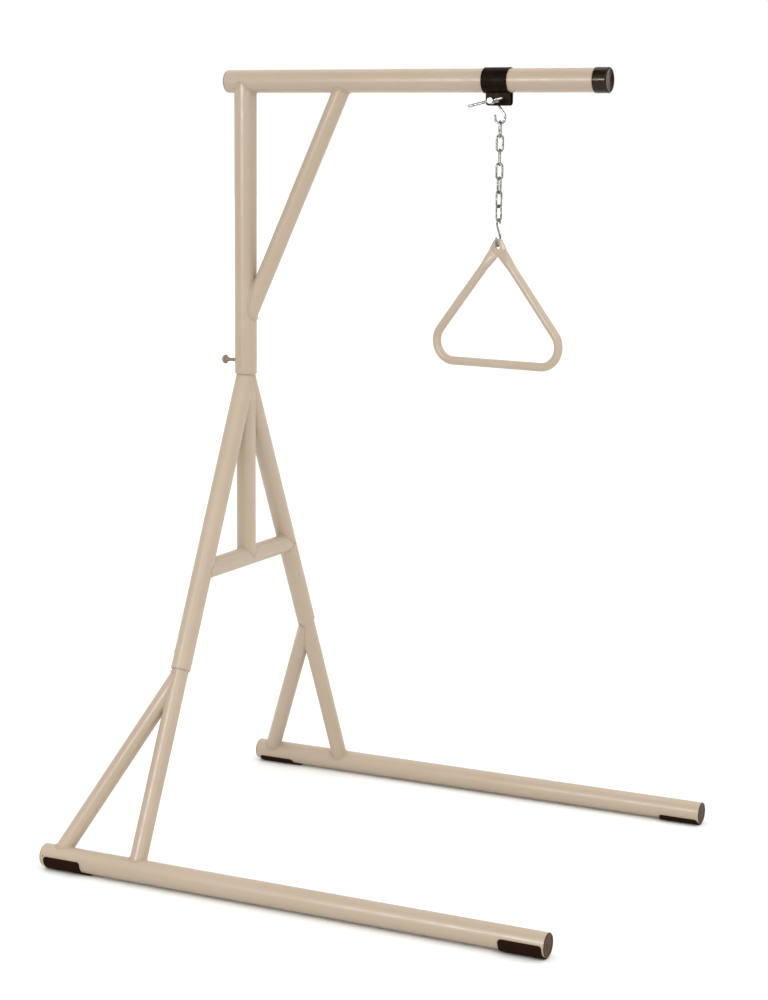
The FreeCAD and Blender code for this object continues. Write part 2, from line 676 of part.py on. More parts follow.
def triangle_handle():
    """One bent tube whose flattened ends lap at the top. The hole's centre is the local origin."""
    lean = math.radians(size("handle_lean"))
    floor_z = -size("handle_height")
    radius = size("handle_tube_radius")
    corner_x = size("handle_height") * math.tan(lean)
    up_left = Vector(math.sin(lean), 0, math.cos(lean))
    up_right = Vector(-math.sin(lean), 0, math.cos(lean))
    from_apex = size("handle_flat_start")
    left_end = -up_left * from_apex
    right_end = -up_right * from_apex
    corners = [Vector(-corner_x, 0, floor_z), Vector(corner_x, 0, floor_z)]
    bend = size("handle_corner")
    path = rounded_path([left_end, *corners, right_end], [bend, bend])
    tube = wire_form(path, radius)
    bore = wire_form(path, size("handle_bore_radius"))
    shape = tube
    half_width = size("handle_flat_width") / 2
    half_flat = size("handle_flat") / 2
    for direction in (up_left, up_right):
        across = Vector(direction.z, 0, -direction.x)
        begin = -direction * from_apex
        ring = Part.Wire(Part.Circle(begin, direction, radius).toShape())
        stop = -direction * size("handle_flat_end")
        run = half_width - half_flat
        ends = []
        for sign in (1, -1):
            ends.append((stop + across * run * sign - Y_AXIS * half_flat * sign,
                         stop + across * half_width * sign,
                         stop + across * run * sign + Y_AXIS * half_flat * sign))
        flat = Part.Wire([
            Part.Arc(*ends[0]).toShape(),
            Part.LineSegment(ends[0][2], ends[1][0]).toShape(),
            Part.Arc(*ends[1]).toShape(),
            Part.LineSegment(ends[1][2], ends[0][0]).toShape(),
        ])
        shape = shape.fuse(Part.makeLoft([ring, flat], True))
    outer_x = (up_right.z * half_width + math.sin(lean) * size("handle_flat_end"))
    outer_z = (-math.cos(lean) * size("handle_flat_end") + math.sin(lean) * half_width)
    inner_x = (math.sin(lean) * size("handle_flat_end") - up_right.z * half_width)
    inner_z = (-math.cos(lean) * size("handle_flat_end") - math.sin(lean) * half_width)
    crotch = -half_width / math.sin(lean)
    top = size("handle_top")
    shoulder_x = size("handle_shoulder_out")
    shoulder_z = size("handle_shoulder_up")
    outline = [
        Part.LineSegment(Vector(0, 0, crotch), Vector(inner_x, 0, inner_z)),
        Part.LineSegment(Vector(inner_x, 0, inner_z), Vector(outer_x, 0, outer_z)),
        Part.LineSegment(Vector(outer_x, 0, outer_z), Vector(shoulder_x, 0, shoulder_z)),
        Part.Arc(Vector(shoulder_x, 0, shoulder_z), Vector(0, 0, top), Vector(-shoulder_x, 0, shoulder_z)),
        Part.LineSegment(Vector(-shoulder_x, 0, shoulder_z), Vector(-outer_x, 0, outer_z)),
        Part.LineSegment(Vector(-outer_x, 0, outer_z), Vector(-inner_x, 0, inner_z)),
        Part.LineSegment(Vector(-inner_x, 0, inner_z), Vector(0, 0, crotch)),
    ]
    face = Part.Face(Part.Wire([piece.toShape() for piece in outline]))
    face.translate(-Y_AXIS * half_flat)
    plate = face.extrude(Y_AXIS * size("handle_flat"))
    hole = Part.makeCylinder(size("handle_hole_radius"), size("handle_flat") * 4,
                             -Y_AXIS * size("handle_flat") * 2, Y_AXIS)
    return shape.fuse(plate).removeSplitter().cut(bore).cut(hole)


hole_centre = handle_pivot + size("handle_hole_slack") - size("handle_hole_radius")
feature("triangle_handle", triangle_handle(),
        upright(low_hook_angle - 90.0, Vector(LOAD_X, 0, hole_centre)))

# ---- check and write -------------------------------------------------------------------------

doc.recompute()
for item in doc.Objects:
    if "Invalid" in item.State or "Error" in item.State:
        raise RuntimeError(f"{item.Label} failed: {item.State}")

os.makedirs("parts", exist_ok=True)
for item in sub_parts:
    shape = item.Shape
    if shape.isNull() or not shape.isValid() or shape.Volume <= 0:
        raise RuntimeError(f"{item.Label} has no valid shape")
    print(f"{item.Label}: {len(shape.Solids)} solid, {shape.Volume / 1000:.1f} cm3, "
          f"x {shape.BoundBox.XMin:.2f} to {shape.BoundBox.XMax:.2f}, "
          f"y {shape.BoundBox.YMin:.2f} to {shape.BoundBox.YMax:.2f}, "
          f"z {shape.BoundBox.ZMin:.2f} to {shape.BoundBox.ZMax:.2f}")
    shape.exportStep(f"parts/{item.Label}.step")
print(len(sub_parts), "sub-parts")
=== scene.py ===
"""Looks of the floor-standing trapeze stand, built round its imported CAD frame. Metres, +Z up."""

import json
import math
import random

import bmesh
import bpy
from mathutils import Matrix, Vector


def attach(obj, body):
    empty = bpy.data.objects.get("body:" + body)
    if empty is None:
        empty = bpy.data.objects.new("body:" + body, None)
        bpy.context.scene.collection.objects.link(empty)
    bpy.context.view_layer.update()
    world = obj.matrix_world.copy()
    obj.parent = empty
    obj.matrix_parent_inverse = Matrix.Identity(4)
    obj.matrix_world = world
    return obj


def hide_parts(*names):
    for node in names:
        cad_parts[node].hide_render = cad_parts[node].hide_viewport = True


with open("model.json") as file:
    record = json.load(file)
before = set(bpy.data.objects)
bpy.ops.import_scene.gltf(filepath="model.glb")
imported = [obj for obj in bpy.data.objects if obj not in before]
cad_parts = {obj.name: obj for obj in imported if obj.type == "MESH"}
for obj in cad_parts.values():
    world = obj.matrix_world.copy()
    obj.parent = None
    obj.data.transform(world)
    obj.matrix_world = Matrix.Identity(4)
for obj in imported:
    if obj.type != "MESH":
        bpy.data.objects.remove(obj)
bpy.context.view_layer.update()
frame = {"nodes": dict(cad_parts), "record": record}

MM = 0.001
X = Vector((1, 0, 0))
Y = Vector((0, 1, 0))
Z = Vector((0, 0, 1))
rng = random.Random(7)

# ---- the object's dimensions, in millimetres --------------------------------------------------

MAST_X = -367.25
MAST_R = 25.4
LEG_R = 22.225
BRACE_R = 19.05
CROSSBAR_R = 22.2
RAIL_Y = 488.5
RAIL_Z = 28.4
RAIL_END = 603.25
PEAK_Z = 1071.6
BRACE_REACH = 203.0
BRACE_TOP_Z = 428.0
SLEEVE_Z = 438.0
CROSSBAR_Z = 647.4
MAST_FOOT_Z = 1076.6
ARM_Z = 1739.0
ARM_BACK = MAST_X - 42.4
ARM_END = ARM_BACK + 914.4
DIAGONAL_FOOT_Z = 1193.0
DIAGONAL_REACH = 254.0
SCREW_X = 257.25
SCREW_Z = 1695.8
LOAD_X = 260.25
LOCK_Z = 1107.0
TWIST = 100.125         # degrees from one link's plane to the next
LINKS = 7
CAP_DEPTH = 28.2
BOLT_Z = 474.0
LOCK_SCREW_X = -389.58
KNOB_X = -411.75
PAD_LENGTH = 95.0
REAR_PAD_INSET = 9.5
FRONT_PAD_INSET = 98.5
REAR_TONGUE = 20.0
FRONT_TONGUE = 3.0
SHANK_START_Y = 20.0
NUT_START_Y = 9.0
TOMMY_Y = -45.0
TOMMY_SHIFT = 13.0
HOOK_WIRE = 2.4
TOP_EYE = 6.6
TOP_LENGTH = 53.8
LOW_LENGTH = 57.9
LINK_WIRE = 2.2
LINK_BOW = 6.7
LINK_INNER = 29.9
REST_GAP = 0.15         # between two pieces that hang on each other
HOLE_R = 5.0
HOLE_TOP_LIFT = 3.2     # from the low hook's wire centre up to the top of the handle's hole


def leg_point(side, height):
    """A point of a leg's axis."""
    return Vector((MAST_X, side * RAIL_Y * (PEAK_Z - height) / (PEAK_Z - RAIL_Z), height))


# ---- mesh builders ----------------------------------------------------------------------------


def piece(name, verts, faces, body, material, replaces=(), sharp=40.0):
    """A smooth-shaded mesh in millimetres, riding on a CAD body and standing for CAD nodes."""
    mesh = bpy.data.meshes.new(name)
    mesh.from_pydata([tuple(Vector(v) * MM) for v in verts], [], faces)
    bm = bmesh.new()
    bm.from_mesh(mesh)
    bmesh.ops.remove_doubles(bm, verts=bm.verts, dist=1e-7)
    bmesh.ops.recalc_face_normals(bm, faces=bm.faces)
    for face in bm.faces:
        face.smooth = True
    for edge in bm.edges:
        edge.smooth = len(edge.link_faces) == 2 and edge.calc_face_angle(0.0) < math.radians(sharp)
    bm.to_mesh(mesh)
    bm.free()
    mesh.materials.append(material)
    obj = bpy.data.objects.new(name, mesh)
    bpy.context.scene.collection.objects.link(obj)
    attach(obj, body)
    if replaces:
        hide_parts(*replaces)
    return obj


def rings_to_faces(count, seg, closed=False, caps=True):
    """Quads between successive rings of a tube, with end caps unless it closes on itself."""
    faces = []
    for i in range(count if closed else count - 1):
        a = i * seg
        b = ((i + 1) % count) * seg
        for j in range(seg):
            k = (j + 1) % seg
            faces.append((a + j, a + k, b + k, b + j))
    if caps and not closed:
        faces.append(tuple(range(seg))[::-1])
        faces.append(tuple(range((count - 1) * seg, count * seg)))
    return faces


def sweep(centres, radii, normal=None, closed=False, seg=28):
    """A tube along centres. radii holds r, or (across, along normal), for each centre."""
    verts = []
    last = None
    total = len(centres)
    for i, centre in enumerate(centres):
        ahead = centres[(i + 1) % total] if closed or i + 1 < total else centres[i]
        behind = centres[i - 1] if closed or i else centres[0]
        run = (ahead - behind).normalized()
        up = normal if normal is not None else last
        if up is None:
            up = Z if abs(run.z) < 0.9 else X
        side = run.cross(up).normalized()
        up = side.cross(run).normalized()
        last = up
        across, along = radii[i] if isinstance(radii[i], tuple) else (radii[i], radii[i])
        for j in range(seg):
            turn = 2 * math.pi * j / seg
            verts.append(centre + side * across * math.cos(turn) + up * along * math.sin(turn))
    return verts, rings_to_faces(total, seg, closed)


def lathe(profile, origin, axis, seg=72, wave=None):
    """A surface of revolution. profile holds (distance along axis, radius)."""
    axis = axis.normalized()
    side = axis.orthogonal().normalized()
    other = axis.cross(side)
    verts = []
    for along, radius in profile:
        for j in range(seg):
            turn = 2 * math.pi * j / seg
            r = radius if wave is None else wave(along, radius, turn)
            verts.append(origin + axis * along + (side * math.cos(turn) + other * math.sin(turn)) * r)
    return verts, rings_to_faces(len(profile), seg)


def join(*parts):
    """Several (verts, faces) pairs as one."""
    verts = []
    faces = []
    for part_verts, part_faces in parts:
        shift = len(verts)
        verts += part_verts
        faces += [tuple(i + shift for i in face) for face in part_faces]
    return verts, faces


def arc_profile(start, end, centre, count=8):
    """Points of a quarter round in an (along, radius) profile, from one point to another."""
    points = []
    first = math.atan2(start[1] - centre[1], start[0] - centre[0])
    last = math.atan2(end[1] - centre[1], end[0] - centre[0])
    if last - first > math.pi:
        last -= 2 * math.pi
    if first - last > math.pi:
        last += 2 * math.pi
    r1 = math.dist(start, centre)
    r2 = math.dist(end, centre)
    for i in range(count + 1):
        f = i / count
        turn = first + (last - first) * f
        r = r1 + (r2 - r1) * f
        points.append((centre[0] + r * math.cos(turn), centre[1] + r * math.sin(turn)))
    return points


def rounded(points, radii, step=1.5):
    """2-D points with each inner corner rounded, sampled finely."""
    points = [Vector(p) for p in points]
    path = [points[0]]
    for before, corner, after, radius in zip(points, points[1:], points[2:], radii):
        back = (before - corner).normalized()
        ahead = (after - corner).normalized()
        half = back.angle(ahead) / 2
        reach = radius / math.tan(half)
        enter = corner + back * reach
        leave = corner + ahead * reach
        centre = corner + (back + ahead).normalized() * (radius / math.sin(half))
        count = max(6, int(radius * (math.pi - 2 * half) / step))
        a = enter - centre
        total = math.pi - 2 * half
        turn_sign = 1 if a.x * (leave - centre).y - a.y * (leave - centre).x > 0 else -1
        for i in range(count + 1):
            t = turn_sign * total * i / count
            path.append(centre + Vector((a.x * math.cos(t) - a.y * math.sin(t),
                                         a.x * math.sin(t) + a.y * math.cos(t))))
    path.append(points[-1])
    dense = [path[0]]
    for point in path[1:]:
        gap = (point - dense[-1]).length
        if gap < 1e-6:
            continue
        parts = max(1, int(gap / (step * 3)))
        start = dense[-1]
        for i in range(1, parts + 1):
            dense.append(start.lerp(point, i / parts))
    return dense


def saddle_curve(origin, direction, radius, main_point, main_axis, main_radius, count=120):
    """Where a branch tube's surface meets a main tube's, on the side the branch points to."""
    direction = direction.normalized()
    main_axis = main_axis.normalized()
    side = direction.orthogonal().normalized()
    other = direction.cross(side)
    flat = direction - main_axis * direction.dot(main_axis)
    curve = []
    for i in range(count):
        turn = 2 * math.pi * i / count
        start = origin + (side * math.cos(turn) + other * math.sin(turn)) * radius
        gap = start - main_point
        gap = gap - main_axis * gap.dot(main_axis)
        a = flat.dot(flat)
        b = gap.dot(flat)
        c = gap.dot(gap) - main_radius ** 2
        root = math.sqrt(max(0.0, b * b - a * c))
        curve.append(start + direction * ((-b + root) / a))
    return curve


def weld(name, body, branch, main, bead=2.7):
    """A rippled fillet weld round the foot of a branch tube. Each tube is (point, axis, radius)."""
    curve = saddle_curve(*branch, *main)
    ripple = 2.4
    fine = 3
    centres = []
    radii = []
    total = len(curve)
    travelled = 0.0
    for i in range(total * fine):
        k = i // fine
        point = curve[k].lerp(curve[(k + 1) % total], (i % fine) / fine)
        if centres:
            travelled += (point - centres[-1]).length
        centres.append(point)
        radii.append(bead * (0.94 + 0.09 * math.sin(2 * math.pi * travelled / ripple)
                             + rng.uniform(-0.02, 0.02)))
    verts, faces = sweep(centres, radii, closed=True, seg=12)
    return piece(name, verts, faces, body, PAINT, sharp=80)


# ---- materials --------------------------------------------------------------------------------


class Nodes:
    """Builds one material's node tree."""

    def __init__(self, name, color, roughness, metallic=0.0, coat=0.0, specular=0.5):
        self.material = bpy.data.materials.new(name)
        self.material.use_nodes = True
        self.tree = self.material.node_tree
        self.shader = self.tree.nodes["Principled BSDF"]
        values = {"Base Color": (*color, 1.0), "Roughness": roughness, "Metallic": metallic,
                  "Coat Weight": coat, "Coat Roughness": 0.12, "Specular IOR Level": specular}
        for socket, value in values.items():
            self.shader.inputs[socket].default_value = value
        self.coords = self.tree.nodes.new("ShaderNodeTexCoord")

    def node(self, kind, **values):
        """A node, with inputs set by socket name and other settings by attribute."""
        item = self.tree.nodes.new(kind)
        for key, value in values.items():
            label = key.replace("_", " ")
            if label in item.inputs:
                if isinstance(value, bpy.types.NodeSocket):
                    self.tree.links.new(value, item.inputs[label])
                else:
                    item.inputs[label].default_value = value
            else:
                setattr(item, key, value)
        return item

    def noise(self, scale, detail=3.0, stretch=None):
        """A noise value from 0 to 1 over the object's own coordinates."""
        source = self.coords.outputs["Object"]
        if stretch:
            mapping = self.node("ShaderNodeMapping", Scale=stretch)
            self.tree.links.new(source, mapping.inputs["Vector"])
            source = mapping.outputs["Vector"]
        item = self.node("ShaderNodeTexNoise", Vector=source, Scale=scale, Detail=detail)
        return item.outputs["Fac"]

    def ramp(self, value, low, high, out_low=0.0, out_high=1.0):
        """A clamped, smooth change of range."""
        item = self.node("ShaderNodeMapRange", Value=value)
        item.interpolation_type = "SMOOTHSTEP"
        for socket, number in (("From Min", low), ("From Max", high),
                               ("To Min", out_low), ("To Max", out_high)):
            item.inputs[socket].default_value = number
        return item.outputs["Result"]

    def tint(self, base, factor, color):
        """Another colour laid over base where factor is high."""
        item = self.tree.nodes.new("ShaderNodeMix")
        item.data_type = "RGBA"
        item.blend_type = "MIX"
        self.tree.links.new(factor, item.inputs[0])
        if isinstance(base, bpy.types.NodeSocket):
            self.tree.links.new(base, item.inputs[6])
        else:
            item.inputs[6].default_value = (*base, 1.0)
        item.inputs[7].default_value = (*color, 1.0)
        return item.outputs[2]

    def math(self, operation, a, b):
        """One arithmetic step on two values or sockets."""
        item = self.tree.nodes.new("ShaderNodeMath")
        item.operation = operation
        for socket, value in zip(item.inputs, (a, b)):
            if isinstance(value, bpy.types.NodeSocket):
                self.tree.links.new(value, socket)
            else:
                socket.default_value = value
        return item.outputs[0]

    def edges(self, radius):
        """High where an edge is near: the difference between the true and the rounded normal."""
        bevel = self.node("ShaderNodeBevel", samples=4)
        bevel.inputs["Radius"].default_value = radius
        geometry = self.tree.nodes.new("ShaderNodeNewGeometry")
        dot = self.tree.nodes.new("ShaderNodeVectorMath")
        dot.operation = "DOT_PRODUCT"
        self.tree.links.new(bevel.outputs[0], dot.inputs[0])
        self.tree.links.new(geometry.outputs["Normal"], dot.inputs[1])
        return self.math("SUBTRACT", 1.0, dot.outputs["Value"])

    def finish(self, color=None, roughness=None, bumps=(), bevel=0.0):
        """Links colour, roughness and a stack of (height, strength, distance) bumps to the shader."""
        if color is not None:
            self.tree.links.new(color, self.shader.inputs["Base Color"])
        if roughness is not None:
            self.tree.links.new(roughness, self.shader.inputs["Roughness"])
        normal = None
        if bevel:
            item = self.node("ShaderNodeBevel", samples=4)
            item.inputs["Radius"].default_value = bevel
            normal = item.outputs[0]
        for height, strength, distance in bumps:
            item = self.node("ShaderNodeBump", Strength=strength, Distance=distance, Height=height)
            if normal is not None:
                self.tree.links.new(normal, item.inputs["Normal"])
            normal = item.outputs[0]
        if normal is not None:
            self.tree.links.new(normal, self.shader.inputs["Normal"])
        return self.material


def powder_coat(name, color):
    """Gloss powder coat: orange peel, faint colour drift, scuffs in patches, pale rubbed edges."""
    n = Nodes(name, color, 0.36, coat=0.05)
    dark = tuple(c * f for c, f in zip(color, (0.955, 0.945, 0.92)))
    light = tuple(min(1.0, c * 1.07) for c in color)
    drift = n.ramp(n.noise(3.0, 4.0), 0.35, 0.68)
    shade = n.tint(color, drift, dark)
    speck = n.ramp(n.noise(300.0, 2.0), 0.52, 0.70, 0.0, 0.22)
    shade = n.tint(shade, speck, light)
    scuff_mask = n.ramp(n.noise(9.0, 6.0), 0.66, 0.80)
    scuff_lines = n.ramp(n.noise(120.0, 6.0, (1.0, 1.0, 0.06)), 0.60, 0.70)
    scuffs = n.math("MULTIPLY", scuff_mask, scuff_lines)
    shade = n.tint(shade, n.math("MULTIPLY", scuffs, 0.07), tuple(c * 0.80 for c in color))
    wear = n.ramp(n.edges(0.0014), 0.03, 0.22, 0.0, 0.45)
    shade = n.tint(shade, wear, light)
    rough = n.ramp(n.noise(34.0, 5.0), 0.30, 0.75, 0.32, 0.44)
    rough = n.math("ADD", rough, n.math("MULTIPLY", scuffs, 0.1))
    peel = n.noise(420.0, 2.0)
    coarse = n.noise(70.0, 2.0)
    return n.finish(shade, rough, ((coarse, 0.05, 0.0012), (peel, 0.16, 0.0004)), bevel=0.0007)


def zinc(name):
    """Bright zinc plate: fine drawn lines, cloudy bright and dull patches, dark stains."""
    n = Nodes(name, (0.26, 0.25, 0.23), 0.18, metallic=1.0)
    cloud = n.ramp(n.noise(150.0, 4.0), 0.35, 0.70)
    shade = n.tint((0.34, 0.33, 0.31), cloud, (0.13, 0.12, 0.11))
    stain = n.ramp(n.noise(420.0, 3.0), 0.60, 0.74, 0.0, 0.7)
    shade = n.tint(shade, stain, (0.06, 0.05, 0.04))
    rough = n.ramp(n.noise(300.0, 4.0), 0.30, 0.70, 0.12, 0.30)
    drawn = n.noise(900.0, 3.0, (1.0, 1.0, 0.12))
    pits = n.noise(700.0, 2.0)
    return n.finish(shade, rough, ((drawn, 0.18, 0.0002), (pits, 0.10, 0.0002)))


def moulded(name, color, roughness, grain, strength, dust=(0.20, 0.16, 0.13), dusty=0.25,
            gloss=0.2, warm=(1.0, 0.80, 0.68)):
    """Moulded plastic or rubber: spark-eroded grain, dusty bloom, rubbed and scuffed patches."""
    n = Nodes(name, color, roughness, specular=gloss)
    n.shader.inputs["Specular Tint"].default_value = (*warm, 1.0)
    bloom = n.ramp(n.noise(38.0, 6.0), 0.45, 0.78, 0.0, dusty)
    shade = n.tint(color, bloom, dust)
    mottle = n.ramp(n.noise(grain * 0.4, 3.0), 0.40, 0.65, 0.0, 0.5)
    shade = n.tint(shade, mottle, tuple(c * 0.75 for c in color))
    wear = n.ramp(n.edges(0.0012), 0.04, 0.25, 0.0, 0.35)
    shade = n.tint(shade, wear, tuple(min(1.0, c * 2.2 + 0.02) for c in color))
    rough = n.ramp(n.noise(60.0, 5.0), 0.30, 0.75, roughness - 0.09, roughness + 0.12)
    fine = n.noise(grain, 2.0)
    scratch = n.noise(170.0, 5.0, (0.10, 1.0, 1.0))
    return n.finish(shade, rough, ((scratch, strength * 0.5, 0.0004), (fine, strength, 0.0003)),
                    bevel=0.0006)


BEIGE = (0.400, 0.317, 0.238)
PAINT = powder_coat("beige_powder_coat", BEIGE)
HANDLE_PAINT = powder_coat("handle_powder_coat", (0.415, 0.336, 0.254))
KNOB_PAINT = powder_coat("knob_enamel", (0.230, 0.185, 0.125))
ZINC = zinc("zinc_plate")
PLUG = moulded("plug_plastic", (0.080, 0.047, 0.029), 0.40, 620.0, 0.16, dusty=0.08, gloss=0.03)
CAP = moulded("cap_plastic", (0.014, 0.0075, 0.0045), 0.17, 760.0, 0.02, dusty=0.02, gloss=0.22,
              warm=(1.0, 0.84, 0.72))
RUBBER = moulded("pad_rubber", (0.017, 0.0075, 0.0045), 0.44, 520.0, 0.20, dusty=0.015, gloss=0.008)
CLAMP = moulded("clamp_enamel", (0.008, 0.0035, 0.0022), 0.38, 380.0, 0.05, dusty=0.02, gloss=0.05)
SLOT_MATERIALS = {
    "frame_paint": PAINT, "handle_paint": HANDLE_PAINT, "knob_paint": KNOB_PAINT, "zinc": ZINC,
    "plug_plastic": PLUG, "cap_plastic": CAP, "pad_rubber": RUBBER, "clamp_black": CLAMP,
}

for row in frame["record"]["subparts"]:
    node = frame["nodes"][row["node"]]
    node.data.materials.clear()
    node.data.materials.append(SLOT_MATERIALS[row["material_slot"]])

# ---- tube ends: plugs and cap -----------------------------------------------------------------


def end_plug(node, centre, outward, body):
    """A push-in plug: rounded flange, shallow dish with a raised rim and a moulding gate mark."""
    profile = [(-12.0, 21.6), (0.0, 22.2), (0.0, 24.9)]
    profile += arc_profile((0.35, 25.15), (2.5, 23.0), (0.35, 23.0))
    profile += [(2.5, 20.4)]
    profile += arc_profile((2.5, 20.4), (1.9, 19.4), (1.9, 20.4), 4)[1:]
    profile += [(1.35, 18.2), (1.25, 17.0), (1.25, 3.4)]
    profile += [(1.5, 3.0), (1.6, 1.6), (1.3, 1.1), (1.1, 0.2)]
    verts, faces = lathe(profile, centre, outward, 96)
    piece(node + "_look", verts, faces, body, PLUG, (node,))


for side_name, side in (("left", -1), ("right", 1)):
    for end_name, end in (("front", 1), ("rear", -1)):
        end_plug(f"{side_name}_{end_name}_rail_plug",
                 Vector((end * RAIL_END, side * RAIL_Y, RAIL_Z)), X * end, "base_frame")
end_plug("arm_rear_plug", Vector((ARM_BACK, 0, ARM_Z)), -X, "mast_arm")

cap_profile = [(0.0, 25.5), (0.0, 26.6)]
cap_profile += arc_profile((0.0, 26.6), (0.7, 27.3), (0.7, 26.6), 4)
cap_profile += [(10.0, 27.25), (20.0, 27.2), (27.1, 27.2)]
cap_profile += arc_profile((28.6, 27.2), (31.6, 24.2), (28.6, 24.2), 10)
cap_profile += [(31.6, 22.2), (31.2, 21.5), (31.1, 20.4), (31.1, 3.2)]
cap_profile += arc_profile((31.1, 3.2), (30.4, 2.4), (30.4, 3.2), 4) + [(29.7, 1.2), (29.5, 0.1)]
verts, faces = lathe(cap_profile, Vector((ARM_END - CAP_DEPTH, 0, ARM_Z)), X, 112)
piece("arm_front_cap_look", verts, faces, "mast_arm", CAP, ("arm_front_cap",))

# ---- foot pads --------------------------------------------------------------------------------


def foot_pad(node, side, start, length, tongue):
    """A moulded saddle with soft edges, a flat sole and a tongue under the tube."""
    columns = 150
    rows = 72
    inner, thick, edge, corner, tip_round = 25.42, 3.45, 1.6, 7.0, 6.0
    low_main, high_main, low_tongue, high_tongue = -62.0, 100.0, -30.0, 30.0
    per_degree = math.pi / 180 * inner
    outer_grid = []
    inner_grid = []
    for i in range(columns + 1):
        x = (length + tongue) * i / columns
        if x <= length:
            low, high = low_main, high_main
            for gap, at_tongue in ((x, False), (length - x, tongue > corner)):
                if gap < corner:
                    drop = math.sqrt(max(0.0, corner ** 2 - (corner - gap) ** 2))
                    pull = (corner - drop) / per_degree
                    if at_tongue:
                        low = max(low, min(low_main + pull, low_tongue))
                        high = min(high, max(high_main - pull, high_tongue))
                    else:
                        low = max(low, low_main + pull)
                        high = min(high, high_main - pull)
        else:
            gap = length + tongue - x
            pull = 0.0
            if gap < tip_round:
                drop = math.sqrt(max(0.0, tip_round ** 2 - (tip_round - gap) ** 2))
                pull = (tip_round - drop) / per_degree
            low, high = low_tongue + pull, high_tongue - pull
        for j in range(rows + 1):
            angle = low + (high - low) * j / rows
            arc_gap = min(angle - low, high - angle) * per_degree
            x_gap = min(x, length + tongue - x)
            outside = angle < low_tongue or angle > high_tongue
            if outside:
                x_gap = min(x_gap, max(0.0, length - x))
            near = min(1.0, min(arc_gap, x_gap) / edge)
            rise = thick * (0.35 + 0.65 * math.sqrt(max(0.0, 1 - (1 - near) ** 2)))
            turn = math.radians(angle)
            across = math.sin(turn) * side
            down = -math.cos(turn)
            radius = inner + rise
            y, z = across * radius, RAIL_Z + down * radius
            outer_grid.append(Vector((start + x, side * RAIL_Y + y, max(0.0, z))))
            inner_grid.append(Vector((start + x, side * RAIL_Y + across * inner,
                                      RAIL_Z + down * inner)))
    shift = len(outer_grid)
    wide = rows + 1
    faces = []
    for i in range(columns):
        for j in range(rows):
            a, d = i * wide + j, (i + 1) * wide + j
            b, c = a + 1, d + 1
            faces.append((a, b, c, d))
            faces.append((shift + d, shift + c, shift + b, shift + a))
    for i in range(columns):
        for j in (0, rows):
            a, d = i * wide + j, (i + 1) * wide + j
            faces.append((a, d, shift + d, shift + a))
    for j in range(rows):
        for i in (0, columns):
            a, b = i * wide + j, i * wide + j + 1
            faces.append((a, b, shift + b, shift + a))
    piece(node + "_look", outer_grid + inner_grid, faces, "base_frame", RUBBER,
          (node,), 60)


for side_name, side in (("left", -1), ("right", 1)):
    foot_pad(f"{side_name}_rear_foot_pad", side, -RAIL_END + REAR_PAD_INSET, PAD_LENGTH, REAR_TONGUE)
    foot_pad(f"{side_name}_front_foot_pad", side, RAIL_END - FRONT_PAD_INSET, PAD_LENGTH,
             FRONT_TONGUE)

# ---- welds ------------------------------------------------------------------------------------

ARM_TUBE = (Vector((ARM_BACK, 0, ARM_Z)), X, MAST_R)
MAST_TUBE = (Vector((MAST_X, 0, MAST_FOOT_Z)), Z, MAST_R)
POST = (Vector((MAST_X, 0, CROSSBAR_Z)), Z, LEG_R)
CROSSBAR = (Vector((MAST_X, 0, CROSSBAR_Z)), Y, CROSSBAR_R)
for side_name, side in (("left", -1), ("right", 1)):
    rail = (Vector((0, side * RAIL_Y, RAIL_Z)), X, MAST_R)
    foot = leg_point(side, RAIL_Z)
    top = leg_point(side, PEAK_Z)
    stub = (foot, top - foot, BRACE_R)
    brace_foot = Vector((MAST_X - BRACE_REACH, side * RAIL_Y, RAIL_Z))
    brace_top = leg_point(side, BRACE_TOP_Z)
    leg = (leg_point(side, CROSSBAR_Z), top - foot, LEG_R)
    weld(f"{side_name}_stub_weld", "base_frame", stub, rail)
    weld(f"{side_name}_brace_foot_weld", "base_frame",
         (brace_foot, brace_top - brace_foot, BRACE_R), rail)
    weld(f"{side_name}_brace_top_weld", "base_frame",
         (brace_top, brace_foot - brace_top, BRACE_R), stub)
    weld(f"{side_name}_crossbar_weld", "base_frame",
         (leg_point(side, CROSSBAR_Z), Y * -side, CROSSBAR_R), leg, 2.3)
weld("post_weld", "base_frame", POST, CROSSBAR, 2.3)
weld("mast_top_weld", "mast_arm", (Vector((MAST_X, 0, ARM_Z)), -Z, MAST_R), ARM_TUBE, 2.3)
diagonal_foot = Vector((MAST_X, 0, DIAGONAL_FOOT_Z))
diagonal_top = Vector((MAST_X + DIAGONAL_REACH, 0, ARM_Z))
weld("diagonal_foot_weld", "mast_arm",
     (diagonal_foot, diagonal_top - diagonal_foot, BRACE_R), MAST_TUBE)
weld("diagonal_top_weld", "mast_arm",
     (diagonal_top, diagonal_foot - diagonal_top, BRACE_R), ARM_TUBE)

# ---- screws, knob and clamp -------------------------------------------------------------------


def thread_wave(pitch, depth):
    """A radius function that cuts a screw thread."""
    def wave(along, radius, turn):
        place = (along / pitch - turn / (2 * math.pi)) % 1.0
        return radius - depth * abs(2 * place - 1)
    return wave


def steps(start, end, step):
    """Evenly spaced numbers from start to end, both included."""
    count = max(1, int(abs(end - start) / step))
    return [start + (end - start) * i / count for i in range(count + 1)]


rod_profile = [(0.0, 0.3), (0.0, 3.2)] + [(v, 4.0) for v in steps(0.5, 34.2, 0.18)] + [(34.3, 0.3)]
verts, faces = lathe(rod_profile, Vector((LOCK_SCREW_X, 0, LOCK_Z)), -X, 40, thread_wave(1.5, 0.55))
piece("lock_screw_look", verts, faces, "lock_screw_body", KNOB_PAINT, ("lock_screw",))

